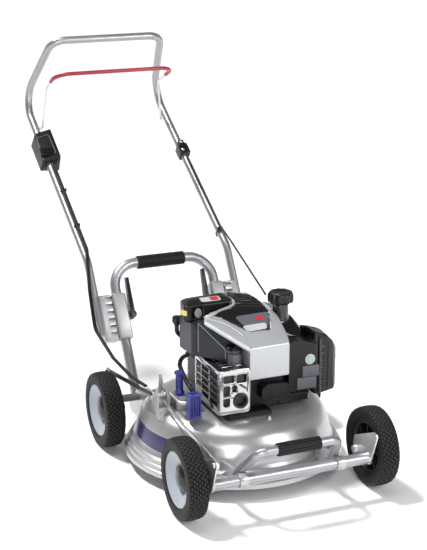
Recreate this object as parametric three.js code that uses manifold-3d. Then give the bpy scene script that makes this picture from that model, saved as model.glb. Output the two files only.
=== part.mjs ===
// Walk-behind mulching mower: domed deck, four crank-mounted wheels, folding
// handlebar, lifting handles and a petrol engine with an on-board starter battery.
// Millimetres, +Z up, -Y is the front, +X is on the right seen from the front.
// Everything is laid out from the front wheel axle (y = 0) and the floor (z = 0);
// the outer group then moves the object to its bounding-box centre.
import * as THREE from 'three';
import Module from 'manifold-3d';
import { mergeVertices } from 'three/addons/utils/BufferGeometryUtils.js';
import { ConvexGeometry } from 'three/addons/geometries/ConvexGeometry.js';

const wasm = await Module();
wasm.setup();

// ---------------------------------------------------------------- dimensions
const GAP = 0.35;                    // clearance between touching pieces
const CENTRE_Y = 632.3;              // middle of the bounding box along y

// wheels
const WHEEL_R = 100, WHEELBASE = 478;
const FRONT_X = 246.5, REAR_X = 278; // wheel centre planes
const WHEEL_SEG = 18;                // sides of the tyres: each stands on one of its flats
const DROP = WHEEL_R * (1 - Math.cos(Math.PI / WHEEL_SEG));
const BOLT_R = 6;

// axle cranks: [y, z] of the tube, of the wheel axle and of the link lug
const FRONT_TUBE = [-57, 98], FRONT_LUG = [-84, 160], FRONT_PLATE_X = 203, FRONT_TUBE_R = 14;
const REAR_TUBE = [548, 92], REAR_LUG = [569, 166], REAR_PLATE_X = 236, REAR_TUBE_R = 10;
const PLATE_T = 4;

// deck: outer profile as [radius, z] from the rim to the crown
const DECK_Y = 286, SHEET = 3, DECK_TOP = 171, ENGINE_HOLE_R = 52, DECK_SEG = 36;
const DECK_PROFILE = [
  [277, 32], [277, 43], [271, 48], [271, 54], [264, 59], [264, 65], [255, 70],
  [248, 80], [244, 102], [237, 126], [224, 147], [205, 161], [180, 169],
  [150, DECK_TOP], [ENGINE_HOLE_R, DECK_TOP],
];

// rear lifting handle (inverted U) and handlebar
const U_R = 14, U_X = 146, U_TOP = [800, 386], U_FOOT = [591, 46], U_BEND = 68;
const BAR_R = 11, BAR_FOOT = [-208, 700, 222], BAR_LOW = [-209, 813, 401];
const BAR_KINK = [-211, 1401, 758], BAR_TOP = [-169, 1224, 955];
const BOLT = [724, 262];             // clamp bolts: the handlebar folds about them
const BAIL = [1285, 687.6];          // pivot of the stop bail, on the bar's centreline

// cutting-height lever
const PIVOT = [268, 204], PIN_R = 16;

// engine
const ENGINE_FLOOR = DECK_TOP + GAP;

// ------------------------------------------------------------------ helpers
const V = (x, y, z) => new THREE.Vector3(x, y, z);
const bare = (g) => {
  const c = g.clone();
  for (const n of Object.keys(c.attributes)) if (n !== 'position') c.deleteAttribute(n);
  return mergeVertices(c, 1e-4);
};
const solid = (g) => {
  const m = bare(g);
  return new wasm.Manifold(new wasm.Mesh({
    numProp: 3,
    vertProperties: new Float32Array(m.attributes.position.array),
    triVerts: new Uint32Array(m.index.array),
  }));
};
const shape = (s) => {
  const m = s.getMesh();
  const g = new THREE.BufferGeometry();
  g.setAttribute('position', new THREE.BufferAttribute(new Float32Array(m.vertProperties), 3));
  g.setIndex(new THREE.BufferAttribute(new Uint32Array(m.triVerts), 1));
  g.computeVertexNormals();
  return g;
};
const join = (...gs) => shape(gs.map(solid).reduce((a, b) => a.add(b)));
const cut = (g, ...tools) => shape(tools.map(solid).reduce((a, b) => a.subtract(b), solid(g)));

const box = (x0, x1, y0, y1, z0, z1) => new THREE.BoxGeometry(x1 - x0, y1 - y0, z1 - z0)
  .translate((x0 + x1) / 2, (y0 + y1) / 2, (z0 + z1) / 2);

// A solid of revolution: [radius, height] pairs about +Z, closed on itself or on the axis.
const turned = (pts, seg = 24) => {
  const p = pts.map(([r, h]) => new THREE.Vector2(r, h));
  if (pts[0][0] > 0 || pts.at(-1)[0] > 0) p.push(p[0].clone());
  const area = p.reduce((s, a, i) => {
    const b = p[(i + 1) % p.length];
    return s + a.x * b.y - b.x * a.y;
  }, 0);
  if (area < 0) p.reverse();
  return new THREE.LatheGeometry(p, seg).rotateX(Math.PI / 2);
};
const aboutX = (g) => g.rotateY(Math.PI / 2);
const rod = (r, x0, x1, y, z, seg = 12) => new THREE.CylinderGeometry(r, r, x1 - x0, seg)
  .rotateZ(Math.PI / 2).translate((x0 + x1) / 2, y, z);
const post = (r, z0, z1, x, y, seg = 16) => new THREE.CylinderGeometry(r, r, z1 - z0, seg)
  .rotateX(Math.PI / 2).translate(x, y, (z0 + z1) / 2);
const pinY = (r, y0, y1, x, z, seg = 12) =>
  new THREE.CylinderGeometry(r, r, y1 - y0, seg).translate(x, (y0 + y1) / 2, z);

// A flat plate: outline in [y, z], thickness between x0 and x1.
const plate = (outline, x0, x1) => {
  const s = new THREE.Shape(outline.map(([y, z]) => new THREE.Vector2(y, z)));
  const g = new THREE.ExtrudeGeometry(s, { depth: x1 - x0, bevelEnabled: false, steps: 1 });
  // sketch x -> y, sketch y -> z, depth -> x
  g.applyMatrix4(new THREE.Matrix4().set(0, 0, 1, x0, 1, 0, 0, 0, 0, 1, 0, 0, 0, 0, 0, 1));
  return g;
};

// A path of straight runs joined by arcs, with one station per end of run and
// a few along each arc, so an extrusion spends its steps only where it bends.
class BentPath extends THREE.Curve {
  constructor(points, radius, per = 4) {
    super();
    this.p = [points[0].clone()];
    this.t = [];
    for (let i = 1; i < points.length - 1; i++) {
      const r = Array.isArray(radius) ? radius[i - 1] : radius;
      const a = points[i].clone().sub(points[i - 1]).normalize();
      const b = points[i + 1].clone().sub(points[i]).normalize();
      const ang = a.angleTo(b);
      if (ang < 1e-3) continue;
      const d = r * Math.tan(ang / 2);
      const c = points[i].clone()
        .addScaledVector(b.clone().sub(a).normalize(), r / Math.cos(ang / 2));
      const from = points[i].clone().addScaledVector(a, -d).sub(c);
      const axis = a.clone().cross(b).normalize();
      for (let k = 0; k <= per; k++) {
        this.p.push(c.clone().add(from.clone().applyAxisAngle(axis, (ang * k) / per)));
      }
    }
    this.p.push(points.at(-1).clone());
    this.n = this.p.length - 1;
  }
  getPoint(t, out = new THREE.Vector3()) {
    const f = Math.min(Math.max(t, 0), 1) * this.n;
    const i = Math.min(Math.floor(f + 1e-9), this.n - 1);
    return out.copy(this.p[i]).lerp(this.p[i + 1], f - i);
  }
  getPointAt(u, out) { return this.getPoint(u, out); }
  getTangentAt(u, out = new THREE.Vector3()) {
    const i = Math.round(u * this.n);
    const before = this.p[Math.max(i - 1, 0)], at = this.p[i], after = this.p[Math.min(i + 1, this.n)];
    const a = at.clone().sub(before).normalize(), b = after.clone().sub(at).normalize();
    return out.copy(a).add(b).normalize();
  }
  getTangent(t, out) { return this.getTangentAt(t, out); }
}
const tube = (points, r, bend = 30, sides = 12, per = 4) => {
  const path = new BentPath(points, bend, per);
  const ring = new THREE.Shape();
  for (let k = 0; k < sides; k++) {
    const a = (2 * Math.PI * k) / sides;
    if (k) ring.lineTo(r * Math.cos(a), r * Math.sin(a));
    else ring.moveTo(r, 0);
  }
  ring.closePath();
  return new THREE.ExtrudeGeometry(ring, { extrudePath: path, steps: path.n, bevelEnabled: false });
};
const hull = (...pts) => new ConvexGeometry(pts.map((p) => V(...p)));
// A box whose vertical and top edges are chamfered.
const block = (x0, x1, y0, y1, z0, z1, c = 6) => {
  const pts = [];
  for (const [z, d] of [[z0, 0], [z1 - c, 0], [z1, c]]) {
    for (const [x, sx] of [[x0, 1], [x1, -1]]) {
      for (const [y, sy] of [[y0, 1], [y1, -1]]) {
        pts.push([x + sx * (d + c), y + sy * d, z], [x + sx * d, y + sy * (d + c), z]);
      }
    }
  }
  return hull(...pts);
};
// Mirror in the plane x = 0 with the faces kept pointing outward.
const mirrored = (g) => {
  const m = bare(g).scale(-1, 1, 1);
  const idx = m.index.array;
  for (let i = 0; i < idx.length; i += 3) [idx[i], idx[i + 1]] = [idx[i + 1], idx[i]];
  m.computeVertexNormals();
  return m;
};
const sided = (g, side) => (side < 0 ? g : mirrored(g));

const look = (color, roughness, metalness = 0) => ({ color, roughness, metalness });
const LOOK = {
  silver: look(0xc4c6c8, 0.32, 0.6), steel: look(0xb8babc, 0.35, 0.9),
  dark: look(0x2b2c2e, 0.6), black: look(0x151516, 0.45), gloss: look(0x101012, 0.2),
  rubber: look(0x1b1b1c, 0.85), rim: look(0xd7dde2, 0.4), blue: look(0x2b2f86, 0.4),
  red: look(0xc5202c, 0.45), alu: look(0xd0d1d2, 0.4, 0.8), chrome: look(0xe2e3e4, 0.15, 1),
  grey: look(0x55575c, 0.5), green: look(0xcfe6cf, 0.3), zinc: look(0xcfd0cf, 0.35, 0.9),
};
const root = new THREE.Group();
const model = new THREE.Group();
model.position.set(0, -CENTRE_Y, -DROP);
root.add(model);
const add = (name, geometry, l, parent = model) => {
  const mesh = new THREE.Mesh(geometry, new THREE.MeshStandardMaterial(l));
  mesh.name = name;
  parent.add(mesh);
  return mesh;
};
const SIDES = [[-1, 'left'], [1, 'right']];   // as seen from the front of the mower

// --------------------------------------------------------------------- deck
const deckOuter = (grow = 0) => DECK_PROFILE.map(([r, z]) => [r + grow, z + (z > 66 ? grow : 0)]);
// The deck's outside as a filled dome, grown by a clearance: trims whatever sits on it.
const deckEnvelope = () => turned(
  [[0, 20], [277 + GAP, 20], ...deckOuter(GAP), [0, DECK_TOP + GAP]], DECK_SEG,
).translate(0, DECK_Y, 0);
function deck() {
  const outer = deckOuter();
  const inner = outer.slice(0, -1).reverse().map(([r, z]) => [r - SHEET, z > 66 ? z - SHEET : z]);
  const skin = turned([...outer, [ENGINE_HOLE_R, DECK_TOP - SHEET], ...inner], DECK_SEG);
  return skin.translate(0, DECK_Y, 0);
}
add('deck', deck(), LOOK.silver);

// ------------------------------------------------------------------- wheels
const TYRE = [
  [68.3, -22], [73, -25.5], [91, -25.5], [97, -21], [WHEEL_R, -13], [WHEEL_R, 13], [97, 21],
  [91, 25.5], [73, 25.5], [68.3, 22],
];
const RIM = [
  [6.4, -24], [14, -24], [17, -1], [54, 5], [60, -18], [68, -21], [68, 21], [62, 19],
  [35, 7.5], [33, 4], [6.4, 4],
];
const CAP = [[0, 16], [16, 14.5], [31, 7.6], [31, 4.4], [28, 4.4], [16, 11.5], [0, 12]];
for (const [end, y, cx] of [['front', 0, FRONT_X], ['rear', WHEELBASE, REAR_X]]) {
  for (const [s, side] of SIDES) {
    const hub = new THREE.Group();
    hub.position.set(s * cx, y, WHEEL_R);
    if (s < 0) hub.rotation.z = Math.PI;
    model.add(hub);
    add(`tyre_${end}_${side}`, aboutX(turned(TYRE, WHEEL_SEG)), LOOK.rubber, hub);
    add(`rim_${end}_${side}`, aboutX(turned(RIM, WHEEL_SEG)), LOOK.rim, hub);
    add(`hub_cap_${end}_${side}`, aboutX(turned(CAP, 12)), LOOK.black, hub);
  }
}

// -------------------------------------------------------------- axle cranks
// Stub axle of one wheel along +X: nut inside the plate, collar, shank, head in the hub recess.
const stub = (centre, plateX, axleY) => aboutX(turned([
  [0, plateX - 10], [9, plateX - 10], [9, plateX + 2], [10, plateX + 2], [10, centre - 24 - GAP],
  [BOLT_R, centre - 24 - GAP], [BOLT_R, centre + 4 + GAP], [9, centre + 4 + GAP], [9, centre + 10],
  [0, centre + 10],
], 8)).translate(0, axleY, WHEEL_R);
function crank(outline, tubeAt, r, centre, px, axleY, lug) {
  const half = join(plate(outline, px, px + PLATE_T), stub(centre, px, axleY));
  const lugHole = rod(4, -px - 9, -px + 9, lug[0], lug[1], 8);
  return cut(join(rod(r, -px - 1, px + 1, tubeAt[0], tubeAt[1], 12), half, mirrored(half)), lugHole);
}
const frontPlate = [
  [22, 80], [14, 130], [-79, 172], [-93, 170], [-97, 164], [-66, 84], [-45, 76], [14, 76],
];
const rearPlate = [
  [458, 82], [462, 118], [563, 178], [576, 176], [580, 168], [562, 78], [548, 74], [464, 78],
];
add('front_axle', crank(
  frontPlate, FRONT_TUBE, FRONT_TUBE_R, FRONT_X, FRONT_PLATE_X, 0, FRONT_LUG,
), LOOK.steel);
add('rear_axle', crank(
  rearPlate, REAR_TUBE, REAR_TUBE_R, REAR_X, REAR_PLATE_X, WHEELBASE, REAR_LUG,
), LOOK.grey);

// Front lugs: carry the front axle tube and the feet of the front lifting handle.
const LIFT_FOOT = [-12, 84], LIFT_X = 126, LIFT_R = 11;
const frontLug = cut(
  join(
    plate([[-20, 66], [60, 62], [60, 104], [-6, 108], [-36, 112], [-44, 84]], -LIFT_X - 17, -LIFT_X + 17),
    rod(20, -LIFT_X - 17, -LIFT_X + 17, ...FRONT_TUBE, 12),
  ),
  rod(FRONT_TUBE_R + GAP, -200, 0, ...FRONT_TUBE, 24),
  deckEnvelope(),
);
const liftPath = [
  V(-LIFT_X, ...LIFT_FOOT), V(-LIFT_X + 2, -30, 108), V(-102, -92, 176), V(102, -92, 176),
  V(LIFT_X - 2, -30, 108), V(LIFT_X, ...LIFT_FOOT),
];
const liftTube = tube(liftPath, LIFT_R, [60, 26, 26, 60], 10, 3);
const liftRoom = tube(liftPath, LIFT_R + GAP, [60, 26, 26, 60], 10, 3);
for (const [s, side] of SIDES) add(`front_lug_${side}`, sided(cut(frontLug, liftRoom), s), LOOK.alu);
add('front_lift_handle', liftTube, LOOK.steel);
const sleeve = (x, r0, r1, y, z, seg = 12) => aboutX(turned([[r0, -x], [r1, -x], [r1, x], [r0, x]], seg))
  .translate(0, y, z);
add('front_lift_grip', sleeve(55, LIFT_R + 1, 16, -92, 176), LOOK.black);

// ----------------------------------------------------- rear lifting handle
const legAt = (z) => U_FOOT[0] + ((U_TOP[0] - U_FOOT[0]) * (z - U_FOOT[1])) / (U_TOP[1] - U_FOOT[1]);
const uPath = [V(-U_X, ...U_FOOT), V(-U_X, ...U_TOP), V(U_X, ...U_TOP), V(U_X, ...U_FOOT)];
const boltHole = rod(4.4, -240, 240, ...BOLT, 8);
add('lift_handle', cut(tube(uPath, U_R, U_BEND, 12, 6), boltHole), LOOK.steel);
add('lift_grip', sleeve(70, U_R + 1, 18.5, ...U_TOP), LOOK.black);
const legRoom = tube(uPath.slice(0, 2), U_R + GAP, 10, 12);
const rearBracket = cut(
  plate(
    [[500, 40], [596, 28], [614, 40], [622, 62], [592, 78], [568, 80], [560, 108], [500, 112]],
    -U_X - 17, -U_X + 17,
  ),
  legRoom, rod(REAR_TUBE_R + GAP, -200, 0, ...REAR_TUBE, 24), deckEnvelope(),
);
for (const [s, side] of SIDES) add(`rear_bracket_${side}`, sided(rearBracket, s), LOOK.alu);

// ---------------------------------------------------------------- handlebar
// Local frame of the clamps: origin on the bolt, z' up the lifting handle's leg.
const LEG_TILT = Math.atan2(U_TOP[0] - U_FOOT[0], U_TOP[1] - U_FOOT[1]);
const alongLeg = (g) => g.rotateX(-LEG_TILT).translate(0, ...BOLT);
const legOffset = (legAt(BOLT[1]) - BOLT[0]) * Math.cos(LEG_TILT);
// The clamp carries the fold bolt: head outside the handlebar, an eye for the cam lever inside.
const clamp = cut(
  join(
    cut(alongLeg(block(-166, -127, legOffset - 21, legOffset + 21, -66, 62, 4)), legRoom),
    rod(4, -220, -116, ...BOLT, 8), rod(8, -226, -219 - GAP, ...BOLT, 6),
    alongLeg(box(-128, -108, -4, 4, -6, 6)),
  ),
  alongLeg(pinY(3.3, -9, 9, -114, 0, 8)),
);
const SHOE = [-206, -166.5];
const shoeTeeth = [-50, -30, -10, 10, 30, 50]
  .map((h) => alongLeg(box(-188, -160, -40, 40, h - 3.5, h + 3.5)));
const barPath = [
  V(...BAR_FOOT), V(...BAR_LOW), V(...BAR_KINK), V(...BAR_TOP),
  ...[BAR_TOP, BAR_KINK, BAR_LOW, BAR_FOOT].map(([x, y, z]) => V(-x, y, z)),
];
const barBends = [90, 70, 45, 45, 70, 90];
const barRoom = tube(barPath.slice(0, 3), BAR_R + GAP, 90, 10, 4);
const barRoomAt = () => tube(barPath, BAR_R + GAP, barBends, 10, 4);
const shoe = cut(
  alongLeg(block(SHOE[0], SHOE[1], -19, 19, -68, 60, 4)),
  ...shoeTeeth, boltHole, barRoom,
);
add('handlebar', cut(
  tube(barPath, BAR_R, barBends, 10, 4), boltHole, rod(3 + GAP, -240, 240, ...BAIL, 8),
), LOOK.steel);
const camLever = join(
  alongLeg(cut(pinY(12, -11, 11, -114, 0, 12), box(-130, -98, -4.4, 4.4, -20, 20))),
  alongLeg(pinY(3, -8, 8, -114, 0, 8)),
  alongLeg(hull(
    [-119, -11, 9.5], [-119, 11, 9.5], [-106, -11, 9.5], [-106, 11, 9.5],
    [-117, -20, 102], [-117, -5, 104], [-109, -20, 102], [-109, -5, 104],
  )),
);
for (const [s, side] of SIDES) {
  add(`handle_clamp_${side}`, sided(clamp, s), LOOK.alu);
  add(`handle_shoe_${side}`, sided(shoe, s), LOOK.alu);
}
for (const [s, side] of SIDES) add(`cam_lever_${side}`, sided(camLever, s), LOOK.black);

// ------------------------------------------------------ cutting-height lever
// Bracket on the dome: two plates carry the pivot shaft, a seat holds the lock plunger.
const bracketPlate = [
  [238, 150], [310, 150], [316, 196], [312, 240], [300, 242], [290, 222], [278, 216], [262, 216],
  [252, 206], [250, 190],
];
const outerPlate = [[240, 150], [300, 150], [286, 212], [276, 218], [262, 218], [252, 210]];
const PLUNGER = [-160, 250];
add('height_bracket', cut(
  join(
    box(-219, -187, 240, 308, 150, 179), plate(outerPlate, -219, -215), plate(bracketPlate, -191, -187),
    box(-188, -147, 276, 300, 150, 180), box(-173, -147, 236, 278, 150, 205),
  ),
  rod(5 + GAP, -230, -170, ...PIVOT, 10), post(4.5, 186, 210, ...PLUNGER, 10), deckEnvelope(),
), LOOK.alu);
// Lever: pivot shaft with a small arm for each link and a long arm to the grip.
const c45 = PIN_R * Math.SQRT1_2;
const frontPin = [PIVOT[0] + c45, PIVOT[1] - c45], rearPin = [PIVOT[0] - c45, PIVOT[1] + c45];
const arm = (pin, x0, x1) => join(
  rod(9, x0, x1, ...PIVOT, 10), rod(7, x0, x1, ...pin, 10),
  plate([[PIVOT[0] - 6, PIVOT[1] - 6], [pin[0] - (pin[0] > PIVOT[0] ? 5 : -5), pin[1] - 5],
    [pin[0] + 5, pin[1] + 5], [PIVOT[0] + 6, PIVOT[1] + 6]].sort((a, b) =>
    Math.atan2(a[1] - (PIVOT[1] + pin[1]) / 2, a[0] - (PIVOT[0] + pin[0]) / 2)
    - Math.atan2(b[1] - (PIVOT[1] + pin[1]) / 2, b[0] - (PIVOT[0] + pin[0]) / 2)), x0, x1),
);
const leverArm = [V(-179, ...PIVOT), V(-179, 200, 204), V(-157, 182, 204), V(-157, 160, 204)];
add('height_lever', join(
  rod(5, -228, -175.5, ...PIVOT, 10), arm(frontPin, -198, -194), arm(rearPin, -231.2, -227),
  tube(leverArm, 4, 8, 8, 2),
), LOOK.zinc);
add('height_grip', cut(
  block(-174, -140, 150, 178, 175, 239, 5), tube(leverArm, 4 + GAP, 8, 8, 2),
  ...[-167, -160.5, -153.5, -147].map((x) => box(x - 1, x + 1, 140, 151.6, 181, 232)),
), LOOK.blue);
// Lock plunger: pulls up out of the bracket against its spring.
add('height_plunger', turned([
  [0, 188], [4, 188], [4, 205.4], [13, 205.4], [13, 213], [9, 216], [8, 258], [13, 262], [13, 266],
  [0, 266],
], 10).translate(...PLUNGER, 0), LOOK.blue);
// Flat link from a crank's lug to the lever, narrower beside the pivot shaft.
const link = (lug, pin, x0, x1) => {
  const L = Math.hypot(pin[0] - lug[0], pin[1] - lug[1]);
  const u = [(pin[0] - lug[0]) / L, (pin[1] - lug[1]) / L];
  const at = (end, along, across) => [
    end[0] + u[0] * along - u[1] * across, end[1] + u[1] * along + u[0] * across,
  ];
  return plate([at(lug, -7, -6.5), at(pin, 5, -3.8), at(pin, 5, 3.8), at(lug, -7, 6.5)], x0, x1);
};
add('front_link', join(
  link(FRONT_LUG, frontPin, -202.4, -198.4), rod(3.6, -209, -200, ...FRONT_LUG, 8),
  rod(6, -212, -207.4, ...FRONT_LUG, 8),
), LOOK.zinc);
add('rear_link', join(
  link(REAR_LUG, rearPin, -235.6, -231.6), rod(3.6, -242, -234, ...REAR_LUG, 8),
  rod(6, -245, -240.4, ...REAR_LUG, 8),
), LOOK.dark);

// -------------------------------------------------------------- engine block
const CRANK = [0, DECK_Y];
const OIL = [-129, 345];             // oil filler neck
add('engine_base', cut(
  join(
    post(100, ENGINE_FLOOR, 183.6, ...CRANK, 20), block(-84, 34, 122, 240, ENGINE_FLOOR, 183.6, 5),
    block(-22, 86, 160, 402, 180, 262, 8), block(60, 154, 156, 380, 180, 205.6, 8),
    block(-80, 0, 290, 402, 180, 262, 8),
    hull([8, 128, 212], [8, 128, 236], [26, 128, 247], [76, 128, 244], [86, 128, 232], [86, 128, 210],
      [76, 128, 200], [28, 128, 202], [10, 192, 210], [10, 192, 242], [85, 192, 238], [85, 192, 206]),
    tube([V(-60, 345, 256), V(...OIL, 334), V(...OIL, 352)], 6, 14, 8, 2),
  ),
  post(13.5, 160, 216, ...CRANK, 12),
), LOOK.dark);
add('crankshaft', turned([[0, 64], [12.5, 64], [12.5, 214], [0, 214]], 12)
  .translate(...CRANK, 0), LOOK.steel);
add('blade_hub', turned(
  [[12.5 + GAP, 62], [30, 62], [30, 70], [20, 74], [20, 96], [12.5 + GAP, 96]], 12,
).translate(...CRANK, 0), LOOK.alu);
const bladeHalf = [[-30, -27], [150, -27], [225, -20], [225, 16], [200, 27], [-30, 27]];
const bladeBar = (turn) => {
  const s = new THREE.Shape(bladeHalf.map(([x, y]) => new THREE.Vector2(x, y)));
  return new THREE.ExtrudeGeometry(s, { depth: 4, bevelEnabled: false, steps: 1 }).rotateZ(turn)
    .translate(...CRANK, 57.6);
};
const wing = (turn) => hull(
  [150, 14, 58], [222, 14, 58], [150, 27, 58], [205, 27, 58],
  [160, 30, 74], [212, 28, 74], [160, 27, 75], [210, 25, 75],
).rotateZ(turn).translate(...CRANK, 0);
add('blade', cut(
  join(bladeBar(0), bladeBar(Math.PI), wing(0), wing(Math.PI)), post(5.4, 50, 70, ...CRANK, 8),
), LOOK.steel);
add('blade_bolt', turned([[0, 48], [14, 48], [14, 57.2], [5, 57.2], [5, 63.6], [0, 63.6]], 8)
  .translate(...CRANK, 0), LOOK.zinc);

// Muffler guard: a slotted chrome box round the muffler, open towards the engine.
const MUF = { x0: -106, x1: -24, y0: 126, y1: 282, z1: 298 };
const guardSlots = [208, 225, 242, 259, 276]
  .map((z) => box(MUF.x0 - 4, MUF.x0 + 6, MUF.y0 + 12, MUF.y1 - 12, z, z + 8));
add('muffler_guard', cut(
  block(MUF.x0, MUF.x1, MUF.y0, MUF.y1, 184, MUF.z1, 3),
  box(MUF.x0 + 2.5, MUF.x1 + 5, MUF.y0 + 2.5, MUF.y1 + 9, 150, MUF.z1 - 2.5),
  box(-96, -34, 100, 130, 262, 284), box(-96, -76, 100, 130, 200, 250),
  new THREE.CylinderGeometry(20.5, 20.5, 20, 16).translate(-49, MUF.y0, 216), ...guardSlots,
), LOOK.chrome);
add('muffler', cut(
  join(block(-99, -30, 134, 272, 199, 292, 10),
    new THREE.CylinderGeometry(19, 19, 14, 16).translate(-49, 129, 216)),
  new THREE.CylinderGeometry(13.5, 13.5, 30, 16).translate(-49, 125, 216),
), LOOK.steel);

// Upper engine: silver cooling shroud, black louvred insert, side housing.
// Convex body from its corner points, optionally grown by a clearance on every side.
const grown = (pts, g) => hull(...pts.flatMap(([x, y, z]) => [-g, g].flatMap((a) =>
  [-g, g].flatMap((b) => [-g, g].map((c) => [x + a, y + b, z + c])))));
const INSERT_FRONT = [
  [-97, 202, 406], [-97, 202, 421], [-10, 163, 368], [-10, 163, 381], [43, 163, 368], [43, 163, 381],
  [58, 205, 398], [58, 205, 411], [-34, 218, 406], [-34, 218, 424], [56, 222, 404], [56, 222, 417],
];
const INSERT_REAR = [
  [-34, 216, 406], [-34, 216, 423.5], [58, 203, 398], [58, 203, 410], [60, 330, 404], [60, 330, 417],
  [0, 330, 404], [0, 330, 429], [-4, 258, 408], [-4, 258, 431], [50, 258, 408], [50, 258, 426],
];
const BATTERY = [
  [-142, 264, 388], [-142, 264, 424], [-136, 258, 384], [-136, 258, 427], [-18, 258, 388], [-18, 258, 427],
  [-9, 267, 390], [-9, 267, 427], [-9, 316, 390], [-9, 316, 429], [-17, 324, 388], [-17, 324, 428],
  [-128, 324, 384], [-128, 324, 423], [-124, 284, 433], [-24, 284, 433], [-24, 312, 434], [-118, 312, 431],
];
// The battery with the room it is lifted through, and its clearance.
const batteryRoom = () => grown([...BATTERY, ...BATTERY.map(([x, y, z]) => [x, y, z + 60])], GAP);
const WING = [
  [-122, 184, 401], [-122, 184, 412], [-112, 199, 419], [-100, 208, 421], [-100, 208, 402], [-20, 130, 330],
  [-20, 130, 342], [-20, 165, 380], [-20, 200, 413], [-20, 240, 426], [-20, 240, 402], [-20, 160, 330],
];
add('cooling_shroud', cut(
  join(
    hull(
      [-24, 130, 262.5], [82, 130, 262.5], [-24, 130, 342], [82, 130, 344], [86, 146, 262.5], [86, 150, 358],
      [-24, 165, 380], [76, 165, 374], [-24, 200, 413], [70, 206, 402], [86, 206, 390], [-24, 250, 427],
      [50, 250, 424], [86, 260, 400], [50, 320, 424], [-24, 320, 429], [86, 340, 392], [60, 400, 392],
      [-24, 400, 392], [86, 406, 300], [86, 406, 262.5], [-24, 406, 262.5],
    ),
    hull(...WING),
  ),
  grown(INSERT_FRONT, GAP), grown(INSERT_REAR, GAP), batteryRoom(),
), LOOK.silver);
add('shroud_insert', cut(
  join(hull(...INSERT_FRONT), hull(...INSERT_REAR)),
  ...[0, 1, 2, 3].map((k) => box(-28 + k * 6, 54, 226 + k * 11, 230 + k * 11, 422, 460)),
  batteryRoom(),
), LOOK.black);
add('side_housing', cut(
  hull(
    [-128, 250, 302], [-128, 250, 386], [-128, 330, 299], [-128, 330, 383], [-66, 180, 299], [-66, 180, 333],
    [-25, 172, 299], [-25, 172, 326], [-25, 330, 299], [-25, 330, 383], [-110, 246, 392], [-40, 246, 392],
    [-110, 330, 390], [-25, 326, 390],
  ),
  batteryRoom(), grown(WING, GAP), box(-60, -34, 150, 196, 280, 340),
), LOOK.grey);
add('battery_pack', cut(hull(...BATTERY), box(-120, -94, 250, 264, 394, 420)), LOOK.black);
add('battery_latch', block(-119, -95, 254, 260.6, 395, 419, 2), LOOK.grey);
const fuelNeck = [108, 240];
add('fuel_tank', cut(
  join(
    hull(
      [87, 205, 264], [87, 205, 352], [90, 236, 390], [132, 236, 380], [90, 340, 390], [132, 340, 380],
      [163, 240, 346], [163, 330, 346], [160, 197, 326], [110, 197, 340], [163, 197, 264],
      [163, 330, 264], [87, 350, 264], [87, 350, 378],
    ),
    post(20.5, 370, 414, ...fuelNeck, 14),
  ),
  post(16, 396, 430, ...fuelNeck, 12),
), LOOK.gloss);
add('fuel_cap', turned([
  [0, 400], [15, 400], [15, 414.4], [31, 414.4], [33, 419], [33, 434], [30, 440], [0, 443],
], 16).translate(...fuelNeck, 0), LOOK.black);
add('air_cleaner', join(
  hull([90, 150, 206], [90, 150, 336], [166, 150, 206], [166, 150, 326], [88, 195.5, 206], [88, 195.5, 336],
    [120, 150, 340], [120, 194, 340], [166, 194, 330], [166, 195.5, 206]),
  hull([164, 158, 190], [176, 160, 186], [164, 158, 352], [176, 160, 350], [176, 224, 350], [176, 240, 346],
    [164, 199, 354], [164, 199, 190], [176, 262, 336], [164, 262, 340], [164, 262, 190], [176, 262, 186]),
), LOOK.dark);
const AIR_COVER = [
  [176.4, 160, 186], [176.4, 160, 348], [226, 170, 190], [222, 170, 318], [238, 186, 196], [238, 186, 296],
  [238, 242, 196], [238, 242, 296], [226, 256, 190], [222, 256, 318], [176.4, 262, 186], [176.4, 262, 334],
  [176.4, 226, 349], [208, 214, 338], [200, 162, 340],
];
add('air_cover', cut(
  hull(...AIR_COVER),
  ...[192, 207, 222].map((x) => box(x, x + 2.5, 150, 270, 336 - (x - 192) * 0.9, 380)),
), LOOK.black);
add('oil_cap', turned([[0, 352 + GAP], [8, 352 + GAP], [8, 358], [12, 359], [12, 374], [0, 376]], 10)
  .translate(...OIL, 0), LOOK.black);
add('engine_hose', tube(
  [V(-118, 300, 293), V(-118, 300, 286), V(-136, 326, 266), V(-134, 268, 228), V(-130, 218, 208),
    V(-128, 212, DECK_TOP + 1)], 5.5, [6, 18, 30, 16], 8, 3,
), LOOK.black);

// -------------------------------------------------- controls on the handlebar
// Frame of the main run of the bar: origin on its centreline, y' up the bar.
const BAR_TILT = Math.atan2(BAR_KINK[2] - BAR_LOW[2], BAR_KINK[1] - BAR_LOW[1]);
const RUN = [1255, BAR_LOW[2] + Math.tan(BAR_TILT) * (1255 - BAR_LOW[1])];
const alongBar = (g) => g.rotateX(BAR_TILT).translate(0, ...RUN);
add('control_box', cut(
  alongBar(hull(
    [-236, -124, -22], [-236, -14, -22], [-232, -124, 18], [-229, -10, 24], [-177, -124, -26], [-177, -2, -26],
    [-177, -118, 27], [-177, 2, 28], [-198, -130, 0], [-198, 4, 0], [-226, -128, 0],
  )),
  barRoomAt(),
), LOOK.black);
add('cable_bracket', cut(
  alongBar(join(box(196, 226, -136, -96, -14, 18), box(198, 214, -112, -92, 10, 28))),
  barRoomAt(),
), LOOK.black);
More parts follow.
